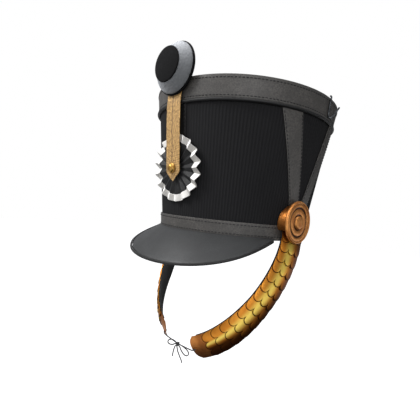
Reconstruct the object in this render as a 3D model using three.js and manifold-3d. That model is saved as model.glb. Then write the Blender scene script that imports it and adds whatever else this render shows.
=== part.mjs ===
// A bell-topped shako: a flared felt crown with leather bands, a leather peak, side chevrons,
// a pleated cockade under a braid loop and pompon, and a brass-scaled chin strap tied by laces.
// Millimetres. +Z is up, the front of the hat faces -Y and the wearer's left is +X.
// The origin is the middle of the head opening, in the plane of the crown's lower edge.
import * as THREE from 'three';
import { mergeVertices } from 'three/addons/utils/BufferGeometryUtils.js';
import Module from 'manifold-3d';

const wasm = await Module();
wasm.setup();

// ---- driving dimensions ----

const CROWN_HEIGHT = 170;
const HEAD_HALF_WIDTH = 94;       // outside of the crown at its lower edge, side to side
const HEAD_HALF_DEPTH = 94;       // and front to back
const TOP_HALF_WIDTH = 115;       // outside of the crown at its top
const TOP_HALF_DEPTH = 123;
const TOP_SET_BACK = 9.5;         // how far the middle of the top lies behind the origin
const FELT = 2.5;                 // thickness of the crown's wall
const GAP = 0.3;                  // clearance between neighbouring pieces
const BAND_LEATHER = 1.5;
const BAND_FACE = GAP + BAND_LEATHER;
const BASE_BAND_TOP = 17.5;
const TOP_BAND_BOTTOM = 146.3;
const WELT_BOTTOM = 142.6;
const RING_SIDES = 72;

const PEAK_LEATHER = 2.5;
const PEAK_ANGLE = 73;            // degrees from the front to each end of the peak's root
const PEAK_ROOT_HEIGHT = 2.7;
const PEAK_RIM_HEIGHT = 2;        // top of its rim at the ends
const PEAK_HALF_WIDTH = 100;
const PEAK_LENGTH = 94;           // from the line between its ends to the front of its rim
const PEAK_END_Y = -38.5;
const PEAK_DROP = 33.2;           // how far the front of the rim lies below the ends
const PEAK_BLUNTNESS = 0.68;      // under 1 squares the rim's outline
const PEAK_BINDING = 2.6;         // width of the bound rim

const ROSETTE_CENTRE = { y: -9, z: 22.7 };
const ROSETTE_BASE_X = 101;
const ROSETTE_RADIUS = 24;
const DRUM_RADIUS = 17.6;

const COCKADE_HEIGHT = 72;        // of its centre above the origin
const COCKADE_RADIUS = 38.4;
const COCKADE_PLEATS = 17;

const POMPON_TURN = 4;            // degrees that its face is turned to the wearer's left

const STRAP_HALF_WIDTH = 15;
const STRAP_LENGTH = 195;
const STRAP_CROWN = 3;            // how far its middle stands above its edges
const SCALE_ROWS = 13;
const SCALE_PITCH = 12.9;
const SCALE_METAL = 0.6;
const LACE_DIAMETER = 1.4;

const degrees = THREE.MathUtils.degToRad;
const mix = THREE.MathUtils.lerp;

// ---- materials ----

const cloth = { color: 0x202021, roughness: 0.95, metalness: 0 };
const bandLeather = { color: 0x45423f, roughness: 0.6, metalness: 0 };
const darkLeather = { color: 0x141415, roughness: 0.7, metalness: 0 };
const peakLeather = { color: 0x3b3d41, roughness: 0.5, metalness: 0 };
const whiteRibbon = { color: 0xe4e0da, roughness: 0.8, metalness: 0 };
const goldBraid = { color: 0xa5804a, roughness: 0.7, metalness: 0.2 };
const greyFelt = { color: 0xa4a8b0, roughness: 0.95, metalness: 0 };
const brass = { color: 0xc88a30, roughness: 0.35, metalness: 1 };
const copper = { color: 0xb0723a, roughness: 0.4, metalness: 1 };
const darkCopper = { color: 0x7c4a26, roughness: 0.4, metalness: 1 };
const steelWire = { color: 0x6a6c70, roughness: 0.4, metalness: 1 };
const laceCord = { color: 0x2c2c2c, roughness: 0.9, metalness: 0 };

// ---- making solids ----

const hat = new THREE.Group();

function addPiece(name, geometry, finish, parent = hat) {
  const mesh = new THREE.Mesh(geometry, new THREE.MeshStandardMaterial(finish));
  mesh.name = name;
  parent.add(mesh);
  return mesh;
}

// Moves each vertex of a geometry to where place(x, y, z) says.
function reshape(geometry, place) {
  const position = geometry.attributes.position;
  for (let i = 0; i < position.count; i += 1) {
    const point = place(position.getX(i), position.getY(i), position.getZ(i));
    position.setXYZ(i, point.x, point.y, point.z);
  }
  geometry.deleteAttribute('normal');
  geometry.deleteAttribute('uv');
  return mergeVertices(geometry, 1e-4);
}

// A slab whose points come from place(u, v, w): u and v run from 0 to 1 over its face,
// w is 0 on its inner side and 1 on its outer side.
function slab(columns, rows, place) {
  const box = new THREE.BoxGeometry(1, 1, 1, columns, rows, 1);
  return reshape(box, (x, y, z) => place(x + 0.5, y + 0.5, z + 0.5));
}

// The same piece for the wearer's right side.
function mirrored(geometry) {
  const copy = geometry.clone();
  copy.scale(-1, 1, 1);
  const index = copy.index;
  for (let i = 0; i < index.count; i += 3) {
    const first = index.getX(i);
    index.setX(i, index.getX(i + 1));
    index.setX(i + 1, first);
  }
  return copy;
}

function toSolid(geometry) {
  const bare = new THREE.BufferGeometry();
  bare.setAttribute('position', geometry.attributes.position);
  bare.setIndex(geometry.index);
  const merged = mergeVertices(bare, 1e-4);
  return new wasm.Manifold(new wasm.Mesh({
    numProp: 3,
    vertProperties: new Float32Array(merged.attributes.position.array),
    triVerts: new Uint32Array(merged.index.array),
  }));
}

function fromSolid(solid) {
  const mesh = solid.getMesh();
  const geometry = new THREE.BufferGeometry();
  geometry.setAttribute('position', new THREE.BufferAttribute(mesh.vertProperties, 3));
  geometry.setIndex(new THREE.BufferAttribute(mesh.triVerts, 1));
  return geometry;
}

function lathe(profile, sides) {
  const points = profile.map(([radius, height]) => new THREE.Vector2(radius, height));
  const turned = new THREE.LatheGeometry(points, sides);
  return reshape(turned, (x, y, z) => new THREE.Vector3(x, y, z));
}

// A turned piece whose axis is +Z.
function latheAlongZ(profile, sides) {
  const turned = lathe(profile, sides);
  turned.rotateX(Math.PI / 2);
  return turned;
}

// ---- the crown's surface ----

// A point at an angle round the crown (0 is the front, 90 the wearer's left), a height,
// and a distance outside the felt.
function onCrown(angle, z, proud) {
  const t = z / CROWN_HEIGHT;
  const halfWidth = mix(HEAD_HALF_WIDTH, TOP_HALF_WIDTH, t) + proud;
  const halfDepth = mix(HEAD_HALF_DEPTH, TOP_HALF_DEPTH, t) + proud;
  const turn = degrees(angle);
  return new THREE.Vector3(
    halfWidth * Math.sin(turn),
    TOP_SET_BACK * t - halfDepth * Math.cos(turn),
    z,
  );
}

// A ring round the crown. The profile's rows are [distance outside the felt, height],
// anticlockwise.
function ring(profile) {
  const reference = 100;
  const closed = [...profile, profile[0]];
  const turned = lathe(closed.map(([proud, z]) => [reference + proud, z]), RING_SIDES);
  return reshape(turned, (x, y, z) => {
    const angle = THREE.MathUtils.radToDeg(Math.atan2(x, z));
    return onCrown(angle, y, Math.hypot(x, z) - reference);
  });
}

// ---- crown ----

const wallTop = CROWN_HEIGHT - BAND_FACE;
addPiece('crown_wall', ring([[-FELT, 0], [0, 0], [0, wallTop], [-FELT, wallTop]]), cloth);

const topThickness = 2.5;
const topRim = onCrown(90, wallTop, -FELT - GAP - 0.4).x;
const topDepth = onCrown(180, wallTop, -FELT - GAP - 0.4).y - TOP_SET_BACK;
const topDisc = new THREE.CylinderGeometry(1, 1, topThickness, RING_SIDES);
const crownTop = addPiece('crown_top', reshape(topDisc, (x, y, z) => (
  new THREE.Vector3(x * topRim, -z * topDepth, y)
)), cloth);
crownTop.position.set(0, TOP_SET_BACK, wallTop - topThickness / 2);

// ---- bands and welt ----

const lip = -7;                   // the top band turns over the crown's edge
addPiece('top_band', ring([
  [GAP, TOP_BAND_BOTTOM],
  [BAND_FACE, TOP_BAND_BOTTOM],
  [BAND_FACE, CROWN_HEIGHT],
  [lip, CROWN_HEIGHT],
  [lip, wallTop + GAP],
  [GAP, wallTop + GAP],
]), bandLeather);

addPiece('base_band', ring([
  [GAP, 0],
  [BAND_FACE, 0],
  [BAND_FACE, BASE_BAND_TOP],
  [GAP, BASE_BAND_TOP],
]), bandLeather);

addPiece('top_band_welt', ring([
  [GAP, WELT_BOTTOM],
  [2.6, WELT_BOTTOM],
  [4.0, WELT_BOTTOM + 1.5],
  [3.2, TOP_BAND_BOTTOM - GAP],
  [GAP, TOP_BAND_BOTTOM - GAP],
]), darkLeather);

// ---- peak ----

// The rim falls away in a slanting plane. side runs from -1 to 1, inset is inwards.
function peakRim(side, inset) {
  const turn = side * Math.PI / 2;
  const forward = Math.max(Math.cos(turn), 0) ** PEAK_BLUNTNESS;
  return new THREE.Vector3(
    (PEAK_HALF_WIDTH - inset) * Math.sin(turn),
    PEAK_END_Y - (PEAK_LENGTH - inset) * forward,
    PEAK_RIM_HEIGHT - PEAK_DROP * forward,
  );
}

function peakRoot(side) {
  return onCrown(side * PEAK_ANGLE, PEAK_ROOT_HEIGHT, BAND_FACE + GAP);
}

const peakArch = 1.6;
const peakPoint = (u, v, w) => {
  const side = 2 * u - 1;
  const point = peakRim(side, PEAK_BINDING + GAP).lerp(peakRoot(side), v);
  point.z += peakArch * Math.sin(Math.PI * v) * Math.cos(side * Math.PI / 2);
  point.z += PEAK_LEATHER * (w - 1);
  return point;
};
addPiece('peak', slab(32, 3, peakPoint), peakLeather);

const bindingProud = 0.3;         // above and below the peak's leather
addPiece('peak_binding', slab(32, 1, (u, v, w) => {
  const point = peakRim(2 * u - 1, PEAK_BINDING * v);
  point.z += mix(-PEAK_LEATHER - bindingProud, bindingProud, w);
  return point;
}), darkLeather);

// ---- side chevrons ----

const trimLeather = 1.2;
const chevron = {
  top: WELT_BOTTOM - GAP,
  foot: BASE_BAND_TOP + GAP,
  apex: 33,
  outerTop: 62,                   // degrees round the crown
  outerFoot: 83.5,
  innerTop: 75,
  lift: 0.15,                     // its flat facets stay clear of the round felt
};

// A V of one piece of leather. side runs from -1 at the top of the front leg, by 0 at the
// foot, to 1 at the top of the back leg.
function chevronPoint(u, v, w) {
  const side = 2 * v - 1;
  const rise = Math.abs(side);
  const footShare = 0.1;
  const legRise = Math.max(rise - footShare, 0) / (1 - footShare);
  const cornerShare = Math.min(rise / footShare, 1);
  const outerLean = mix(mix(0, 90 - chevron.outerFoot, cornerShare), 90 - chevron.outerTop, legRise);
  const innerLean = mix(0, 90 - chevron.innerTop, rise);
  const lean = mix(innerLean, outerLean, u);
  const outerHeight = mix(chevron.foot, chevron.top, legRise);
  const innerHeight = mix(chevron.apex, chevron.top, rise);
  const z = mix(innerHeight, outerHeight, u);
  return onCrown(90 + Math.sign(side) * lean, z, GAP + chevron.lift + trimLeather * w);
}
const chevronShape = slab(2, 20, chevronPoint);
addPiece('side_chevron_left', chevronShape, bandLeather);
addPiece('side_chevron_right', mirrored(chevronShape), bandLeather);

// ---- strip down the front, behind the cockade ----

const strip = { halfAngle: 7.6, bottom: 60, top: WELT_BOTTOM - GAP, leather: 0.8 };
addPiece('front_strip', slab(4, 6, (u, v, w) => onCrown(
  strip.halfAngle * (2 * u - 1),
  mix(strip.bottom, strip.top, v),
  GAP + strip.leather * w,
)), bandLeather);

// ---- cockade, button ----

const frontLean = Math.atan2(onCrown(0, 0, 0).y - onCrown(0, CROWN_HEIGHT, 0).y, CROWN_HEIGHT);
const cockade = new THREE.Group();
cockade.position.copy(onCrown(0, COCKADE_HEIGHT, 0));
cockade.rotation.x = Math.PI / 2 + frontLean;
hat.add(cockade);

const pleat = { back: 1.4, hub: 5, rise: 3, cloth: 1.0, borderFrom: 30.4, fall: 0.003 };

// One ring of pleated ribbon between two radii. Its ridges lie in one plane, and towards the
// sides its valleys fall back with the round of the crown.
function pleatedRing(inner, outer) {
  const folds = 2 * COCKADE_PLEATS;
  const profile = [[inner, 0], [outer, 0], [outer, 1], [inner, 1], [inner, 0]];
  const turned = latheAlongZ(profile, folds);
  return reshape(turned, (x, y, z) => {
    const radius = Math.hypot(x, y);
    const fold = Math.round(Math.atan2(y, x) / (Math.PI / COCKADE_PLEATS) + folds);
    const spread = (radius - pleat.hub) / (COCKADE_RADIUS - pleat.hub);
    const isRidge = fold % 2 === 0;
    const height = isRidge ? pleat.rise : -pleat.fall * x * x;
    return new THREE.Vector3(x, y, pleat.back + height * spread + pleat.cloth * z);
  });
}
addPiece('cockade_disc', pleatedRing(pleat.hub, pleat.borderFrom - GAP), darkLeather, cockade);
addPiece('cockade_border', pleatedRing(pleat.borderFrom, COCKADE_RADIUS), whiteRibbon, cockade);

// The braid loop runs down over the top band to the middle of the cockade.
const loop = { halfWidth: 12, thickness: 1.1, tip: 56, shoulder: 11, top: 156 };
const loopStations = [
  { z: 50, proud: 7.3 },
  { z: 114, proud: 7.3 },
  { z: 142, proud: 6.4 },
  { z: 156, proud: 4.45 },
];
function loopProud(z) {
  const next = Math.max(loopStations.findIndex((station) => station.z >= z), 1);
  const below = loopStations[next - 1];
  const above = loopStations[next];
  return mix(below.proud, above.proud, (z - below.z) / (above.z - below.z));
}
addPiece('cockade_loop', slab(2, 10, (u, v, w) => {
  const side = 2 * u - 1;
  const bottom = loop.tip + loop.shoulder * Math.abs(side);
  const z = mix(bottom, loop.top, v);
  const middle = onCrown(0, z, loopProud(z) - loop.thickness * (1 - w));
  return new THREE.Vector3(loop.halfWidth * side, middle.y, z);
}), goldBraid);

const buttonProfile = [[0, 0], [5.4, 0], [6, 1], [5.6, 2.6], [4.2, 4], [2.2, 4.8], [0, 5]];
const button = addPiece('cockade_button', latheAlongZ(buttonProfile, 20), brass, cockade);
button.position.z = 7.3 + GAP;

// ---- pompon ----

const pompon = new THREE.Group();
pompon.position.set(1.5, -117.2, 181);
pompon.rotation.set(Math.PI / 2, 0, degrees(POMPON_TURN), 'ZXY');
hat.add(pompon);

const pomponSides = 40;
addPiece('pompon_back', latheAlongZ([[0, 0], [29.2, 0], [30.2, 1.2], [29.4, 2.8], [0, 2.8]], pomponSides),
  darkLeather, pompon);
addPiece('pompon_body', latheAlongZ([
  [0, 3.1], [28, 3.1], [28.4, 4.2], [27.4, 5.8], [25.3, 8], [22.6, 10.8], [20.2, 14.2], [0, 14.2],
], pomponSides), greyFelt, pompon);
addPiece('pompon_front', latheAlongZ([[0, 14.5], [19.6, 14.5], [19, 15.6], [0, 16]], pomponSides),
  darkLeather, pompon);

// ---- round wires and cords ----

function tube(points, diameter, steps, sides) {
  const section = new THREE.Shape();
  for (let i = 0; i < sides; i += 1) {
    const turn = (2 * Math.PI * i) / sides;
    const corner = [Math.cos(turn) * diameter / 2, Math.sin(turn) * diameter / 2];
    if (i === 0) section.moveTo(...corner);
    else section.lineTo(...corner);
  }
  section.closePath();
  const path = new THREE.CatmullRomCurve3(points.map((point) => new THREE.Vector3(...point)));
  return new THREE.ExtrudeGeometry(section, { steps, extrudePath: path, bevelEnabled: false });
}

// The pompon's wire stem stands behind the loop and turns forward into the pompon's back.
addPiece('pompon_stem', tube([
  [0, -114.1, 148], [0, -114.9, 160], [0, -115.6, 167], [0, -115.9, 170], [0, -116.4, 171.4],
], 0.8, 10, 6), steelWire);

// A wire hook over the top band, towards the back of the wearer's left side.
const hookRoute = [
  { angle: 94.4, z: 172.2, proud: 1.6 },
  { angle: 94.6, z: 170.2, proud: 3.2 },
  { angle: 94.9, z: 165, proud: 3.2 },
  { angle: 95.6, z: 156, proud: 3.2 },
  { angle: 96.2, z: 149, proud: 3.8 },
  { angle: 96.8, z: 147.5, proud: 6.2 },
  { angle: 97.6, z: 151, proud: 8.6 },
  { angle: 98.4, z: 157, proud: 10.4 },
  { angle: 98.8, z: 160.4, proud: 11.6 },
];
const hookPoints = hookRoute.map((row) => onCrown(row.angle, row.z, row.proud).toArray());
addPiece('band_hook', tube(hookPoints, 2, 20, 8), steelWire);

// ---- chin strap ----

// The middle of the strap on the wearer's left, from the rosette to the lace.
const strapPath = new THREE.CubicBezierCurve3(
  new THREE.Vector3(100.3, -8.3, 16.4),
  new THREE.Vector3(98.4, 5.8, -29),
  new THREE.Vector3(99, -71, -109.5),
  new THREE.Vector3(17.5, -72.2, -138.5),
);
strapPath.arcLengthDivisions = 400;
const pathLength = strapPath.getLength();
// Where the strap's outer face looks, from its top to the chin: it turns to the front.
const faceTurns = [
  { share: 0, face: [0.97, -0.24, -0.1] },
  { share: 0.47, face: [0.91, -0.41, -0.07] },
  { share: 0.72, face: [0.62, -0.75, -0.2] },
  { share: 1, face: [0.12, -0.89, -0.44] },
];
function faceAt(share) {
  const next = Math.max(faceTurns.findIndex((turn) => turn.share >= share), 1);
  const from = faceTurns[next - 1];
  const to = faceTurns[next];
  const part = (share - from.share) / (to.share - from.share);
  return new THREE.Vector3(...from.face).lerp(new THREE.Vector3(...to.face), part);
}

// A point on the strap: along it, across it from -1 (back edge) to 1, and above its leather.
function onStrap(along, across, above) {
  const share = Math.min(along / pathLength, 1);
  const centre = strapPath.getPointAt(share);
  const tangent = strapPath.getTangentAt(share);
  const face = faceAt(share);
  face.addScaledVector(tangent, -face.dot(tangent)).normalize();
  const forward = tangent.clone().cross(face);
  const domed = STRAP_CROWN * Math.min(along / 25, 1) * (1 - across * across);
  return centre.addScaledVector(forward, across * STRAP_HALF_WIDTH)
    .addScaledVector(face, above + domed);
}

const backing = { thickness: 1.5, overhang: 1.05, length: 182 };
const backingShape = slab(6, 16, (u, v, w) => (
  onStrap(v * backing.length, (2 * u - 1) * backing.overhang, backing.thickness * (w - 1))
));
addPiece('chin_strap_leather_left', backingShape, darkLeather);
addPiece('chin_strap_leather_right', mirrored(backingShape), darkLeather);

// Each plate has three lobes and rides up over the root of the next one.
const scale = { firstTip: 19, length: 17, lobes: 3, lobeDepth: 4.4, slope: 0.09 };
function lobeSetback(across) {
  const place = (across + 1) / 2 * scale.lobes;
  const fromLobeMiddle = 2 * (place - Math.floor(Math.min(place, scale.lobes - 1e-6))) - 1;
  return scale.lobeDepth * (1 - Math.sqrt(Math.max(1 - fromLobeMiddle ** 2, 0)));
}
for (let row = 0; row < SCALE_ROWS; row += 1) {
  const tip = scale.firstTip + SCALE_PITCH * row;
  const plate = slab(12, 1, (u, v, w) => {
    const across = 2 * u - 1;
    const fromRoot = v * (scale.length - lobeSetback(across));
    const above = GAP + scale.slope * fromRoot + SCALE_METAL * w;
    return onStrap(tip - scale.length + fromRoot, across, above);
  });
  const number = String(row + 1).padStart(2, '0');
  addPiece(`chin_scale_left_${number}`, plate, brass);
  addPiece(`chin_scale_right_${number}`, mirrored(plate), brass);
}

// The last plate is plain, rounded at its end and pierced for the lace.
const endPlate = { root: 170, corner: 6, hole: { along: 190.3, across: 0, radius: 1.6 } };
const endPlateSolid = toSolid(slab(12, 4, (u, v, w) => {
  const across = 2 * u - 1;
  const end = STRAP_LENGTH - endPlate.corner * across ** 4;
  return onStrap(mix(endPlate.root, end, v), across, GAP + SCALE_METAL * w);
}));
const holeCutter = new THREE.CylinderGeometry(endPlate.hole.radius, endPlate.hole.radius, 12, 12);
const holeAt = onStrap(endPlate.hole.along, endPlate.hole.across, 0);
const holeAxis = onStrap(endPlate.hole.along, endPlate.hole.across, 1).sub(holeAt);
holeCutter.applyQuaternion(new THREE.Quaternion().setFromUnitVectors(
  new THREE.Vector3(0, 1, 0),
  holeAxis.normalize(),
));
holeCutter.translate(holeAt.x, holeAt.y, holeAt.z);
const endPlateShape = fromSolid(endPlateSolid.subtract(toSolid(holeCutter)));
addPiece('chin_end_plate_left', endPlateShape, darkCopper);
addPiece('chin_end_plate_right', mirrored(endPlateShape), darkCopper);

// ---- rosettes ----

const rosetteProfile = [
  [0, -8], [DRUM_RADIUS, -8], [DRUM_RADIUS, 4.6], [22.6, 4.6], [ROSETTE_RADIUS, 6], [23.4, 8], [21, 8.8],
  [18.4, 7.8], [17.2, 6.6], [15.6, 7.6], [9, 7.4], [8, 6.6], [6.8, 8], [0, 8.2],
];
const rosetteTurned = latheAlongZ(rosetteProfile, 28);
rosetteTurned.rotateY(Math.PI / 2);
rosetteTurned.translate(ROSETTE_BASE_X, ROSETTE_CENTRE.y, ROSETTE_CENTRE.z);
// The drum's back follows the crown, and it is slotted over the top of the strap.
const slotClearance = { side: 1.1, under: -6, over: 4.4, length: 40, end: 0.6 };
const strapSlot = slab(6, 4, (u, v, w) => onStrap(
  slotClearance.length * v,
  (2 * u - 1) * slotClearance.side,
  mix(slotClearance.under, slotClearance.over, w),
));
strapSlot.translate(0, 0, slotClearance.end);
const crownClearance = BAND_FACE + GAP;
const crownRound = ring([[-25, -20], [crownClearance, -20], [crownClearance, 70], [-25, 70]]);
const rosetteShape = fromSolid(
  toSolid(rosetteTurned).subtract(toSolid(crownRound)).subtract(toSolid(strapSlot)),
);
addPiece('rosette_left', rosetteShape, copper);
addPiece('rosette_right', mirrored(rosetteShape), copper);

// ---- laces ----

// Two laces leave the end plates and meet in a bow: each has a leg, a loop and a free tail.
// The middle of the knot, and routes measured from it.
const KNOT = new THREE.Vector3(0, -76, -139.6);
const KNOT_RADIUS = 2.3;
const laceRoutes = {
  lace_leg_left: [
    [30.1, 3.9, 5.9], [30.6, 2.1, 5.1], [30.7, 1, 4.4], [30, 0.1, 3.6], [28.3, -0.4, 2.7],
    [26.2, -0.5, 2], [22, -0.4, 1.4], [13, -0.1, 0.5], [3.2, 0, -0.3],
  ],
  lace_leg_right: [
    [-30.1, 3.9, 5.9], [-30.6, 2.1, 5.1], [-30.7, 1, 4.4], [-30, 0.1, 3.6], [-28.3, -0.4, 2.7],
    [-26.2, -0.5, 2], [-22, -0.4, 1.4], [-13, -0.1, 0.5], [-3.2, 0, -0.3],
  ],
  lace_loop_left: [
    [2.2, 1.9, -1.4], [6, 4.6, -3.5], [9.6, 6.9, -6.1], [11.9, 7.7, -8.9], [12.5, 6.7, -11.4],
    [10.9, 4.6, -11.9], [8.2, 2.7, -10.1], [5, 1.3, -6.5], [1.9, 0.5, -2.6],
  ],
  lace_loop_right: [
    [-1.9, -2.5, -0.3], [-3.9, -5.6, -1.4], [-6.2, -8.2, -1], [-8.3, -9.3, 0.6],
    [-8.6, -8.4, 2.9], [-7, -6, 4], [-4.9, -3.6, 3.3], [-2.2, -1.9, 1.3],
  ],
  lace_tail_left: [
    [0.9, -2.3, -2.5], [3.4, -2.4, -7.4], [6.8, -1.6, -12.6], [9.4, -0.8, -16.6], [11, -0.5, -19.5],
  ],
  lace_tail_right: [
    [-1.2, -2.7, -2.4], [-0.9, -5, -6], [0.2, -7, -9.8], [1.1, -8, -13.3],
  ],
};
const laceSteps = { leg: 14, loop: 14, tail: 6 };
for (const [name, route] of Object.entries(laceRoutes)) {
  const points = route.map((offset) => new THREE.Vector3(...offset).add(KNOT).toArray());
  const stretch = name.split('_')[1];
  addPiece(name, tube(points, LACE_DIAMETER, laceSteps[stretch], 8), laceCord);
}
const knotBall = reshape(new THREE.SphereGeometry(KNOT_RADIUS, 10, 6), (x, y, z) => (
  new THREE.Vector3(x, y, z)
));
addPiece('lace_knot', knotBall, laceCord).position.copy(KNOT);

export default hat;
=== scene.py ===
"""A bell-topped shako: a ribbed cloth crown with leather bands and peak, a pleated cockade
under a braid loop and a pompon, and a brass-scaled chin strap tied by laces.

Lengths are in millimetres until a mesh is made. The front of the hat faces -Y, +Z is up, and
the wearer's left is +X."""
import math

import bmesh
import bpy
from mathutils import Matrix, Vector, noise


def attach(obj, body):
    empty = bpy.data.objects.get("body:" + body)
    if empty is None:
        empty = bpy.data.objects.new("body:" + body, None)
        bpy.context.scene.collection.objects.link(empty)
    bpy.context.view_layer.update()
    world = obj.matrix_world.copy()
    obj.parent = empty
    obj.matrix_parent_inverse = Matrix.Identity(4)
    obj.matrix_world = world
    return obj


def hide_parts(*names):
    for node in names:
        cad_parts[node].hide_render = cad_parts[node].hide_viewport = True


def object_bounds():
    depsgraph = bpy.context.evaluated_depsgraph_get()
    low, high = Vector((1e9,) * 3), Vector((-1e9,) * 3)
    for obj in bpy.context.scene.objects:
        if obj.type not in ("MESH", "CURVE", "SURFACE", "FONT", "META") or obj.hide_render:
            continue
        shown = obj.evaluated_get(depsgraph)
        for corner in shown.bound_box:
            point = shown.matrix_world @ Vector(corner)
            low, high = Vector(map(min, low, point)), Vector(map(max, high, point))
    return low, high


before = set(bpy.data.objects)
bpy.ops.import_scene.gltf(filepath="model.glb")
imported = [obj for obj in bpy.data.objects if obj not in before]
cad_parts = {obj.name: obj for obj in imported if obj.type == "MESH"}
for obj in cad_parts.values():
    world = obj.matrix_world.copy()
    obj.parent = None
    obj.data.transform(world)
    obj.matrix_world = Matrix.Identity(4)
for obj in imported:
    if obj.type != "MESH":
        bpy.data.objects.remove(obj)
frame_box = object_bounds()
MM = 0.001


# ---- Camera ----
# Stands before the wearer's left eye, level with the peak and leaning a little to one side.

azimuth, elevation, roll = math.radians(46.10), math.radians(0.83), math.radians(5.48)
backwards = Vector((
    math.sin(azimuth) * math.cos(elevation),
    -math.cos(azimuth) * math.cos(elevation),
    math.sin(elevation),
))
level = Vector((math.cos(azimuth), math.sin(azimuth), 0))
upright = backwards.cross(level)
right = math.cos(roll) * level + math.sin(roll) * upright
up = -math.sin(roll) * level + math.cos(roll) * upright
camera = bpy.data.objects.new("camera", bpy.data.cameras.new("camera"))
bpy.context.collection.objects.link(camera)
camera.data.lens = 27.38
camera.data.sensor_width = 36
camera.data.clip_start = 0.01
camera_axes = Matrix((right, up, backwards)).transposed().to_4x4()
camera.matrix_world = Matrix.Translation((0.2968, -0.3292, 0.0327)) @ camera_axes
bpy.context.scene.camera = camera


# ---- Laces ----
# Two round braided cotton laces, each tied through the hole of an end plate. They cross in a
# bow under the chin, so each one makes the far loop and ends in the tail on its own side.

def linear(hex_colour):
    """An sRGB hex colour as the linear one that a shader's socket takes."""
    channels = [int(hex_colour[i:i + 2], 16) / 255 for i in (1, 3, 5)]
    return [c / 12.92 if c <= 0.04045 else ((c + 0.055) / 1.055) ** 2.4 for c in channels] + [1.0]


def add(tree, kind, inputs=None, **settings):
    """Adds a node and gives back its factor, or else the first output that it shows.

    inputs gives each socket, by name or place, its value or the output it takes."""
    node = tree.nodes.new("ShaderNode" + kind)
    for name, value in settings.items():
        setattr(node, name, value)
    for name, value in (inputs or {}).items():
        if isinstance(value, bpy.types.NodeSocket):
            tree.links.new(value, node.inputs[name])
        else:
            node.inputs[name].default_value = value
    shown = [output for output in node.outputs if output.enabled]
    return node.outputs.get("Fac") or (shown[0] if shown else None)


def start_material(name):
    """An empty material, its node tree, and its coordinates: mm along and round a piece."""
    material = bpy.data.materials.new(name)
    material.use_nodes = True
    tree = material.node_tree
    tree.nodes.clear()
    return material, tree, add(tree, "TexCoord").node.outputs["UV"]


def smooth_run(points, spans):
    """Points along a smooth line through the given ones, with that many to each span."""
    ends = [2 * points[0] - points[1], *points, 2 * points[-1] - points[-2]]
    run = []
    for a, b, c, d in zip(ends, ends[1:], ends[2:], ends[3:]):
        for step in range(spans):
            t = step / spans
            run.append(0.5 * (
                2 * b + (c - a) * t + (2 * a - 5 * b + 4 * c - d) * t ** 2
                + (3 * b - a - 3 * c + d) * t ** 3
            ))
    return [*run, points[-1]]


def loft(name, loops, ring=False, sharp=40):
    """A solid skinned over closed loops of points; a ring joins its last loop to its first.

    Its map holds millimetres: across it along the loft, and up it round the loops."""
    count = len(loops[0])
    steps = len(loops) if ring else len(loops) - 1
    along = [0.0]
    for i in range(steps):
        along.append(along[-1] + (loops[(i + 1) % len(loops)][0] - loops[i][0]).length)
    middle = loops[len(loops) // 2]
    around = [0.0]
    for k in range(count):
        around.append(around[-1] + (middle[(k + 1) % count] - middle[k]).length)
    faces = []
    places = []
    for i in range(steps):
        j = (i + 1) % len(loops)
        for k in range(count):
            m = (k + 1) % count
            faces.append((i * count + k, i * count + m, j * count + m, j * count + k))
            places += [
                (along[i], around[k]), (along[i], around[k + 1]),
                (along[i + 1], around[k + 1]), (along[i + 1], around[k]),
            ]
    if not ring:
        for first, at in ((0, along[0]), ((len(loops) - 1) * count, along[-1])):
            faces.append(tuple(range(first, first + count)))
            places += [(at, around[k]) for k in range(count)]
    mesh = bpy.data.meshes.new(name)
    mesh.from_pydata([point * MM for loop in loops for point in loop], [], faces)
    mesh.uv_layers.new(name="millimetres").data.foreach_set(
        "uv", [value for place in places for value in place]
    )
    shape = bmesh.new()
    shape.from_mesh(mesh)
    bmesh.ops.recalc_face_normals(shape, faces=shape.faces)
    shape.to_mesh(mesh)
    shape.free()
    mesh.shade_smooth()
    mesh.set_sharp_from_angle(angle=math.radians(sharp))
    piece = bpy.data.objects.new(name, mesh)
    bpy.context.collection.objects.link(piece)
    return piece


def sweep(name, run, radius, sides=12):
    """A round cord or wire along a run of points; radius is a number, or one for each point."""
    radii = radius if isinstance(radius, list) else [radius] * len(run)
    tangents = [(b - a).normalized() for a, b in zip(run, run[1:])]
    tangents.append(tangents[-1])
    side = tangents[0].orthogonal().normalized()
    loops = []
    for point, tangent, thickness in zip(run, tangents, radii):
        side = (side - tangent * side.dot(tangent)).normalized()
        other = tangent.cross(side)
        turns = [2 * math.pi * k / sides for k in range(sides)]
        loops.append([
            point + thickness * (side * math.cos(turn) + other * math.sin(turn)) for turn in turns
        ])
    return loft(name, loops)


def fit(piece, material, slot, *nodes):
    """Gives a piece its material and puts it on the hat, in place of the nodes it stands for."""
    piece.data.materials.append(material)
    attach(piece, "root")
    if nodes:
        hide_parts(*nodes)
    return piece


def braided_cotton():
    """Braided cotton: strands cross in slanted pairs, which reads as a fine knobbly cord."""
    material, tree, place = start_material("braided_cotton")
    strand_mm = 0.9
    slant = add(tree, "Mapping", {"Vector": place, "Rotation": (0, 0, 0.6)})
    strands = add(tree, "TexWave", {
        "Vector": slant, "Scale": 0.314 / strand_mm, "Distortion": 0.6,
    })
    tint = add(tree, "Mix", {
        "Factor": strands, 6: linear("#1b1b1c"), 7: linear("#3a3a3b"),
    }, data_type="RGBA")
    relief = add(tree, "Bump", {"Height": strands, "Distance": 0.0003, "Strength": 0.9})
    shader = add(tree, "BsdfPrincipled", {
        "Base Color": tint, "Roughness": 0.85, "Normal": relief, "Sheen Weight": 0.2,
    })
    add(tree, "OutputMaterial", {"Surface": shader})
    return material


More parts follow.
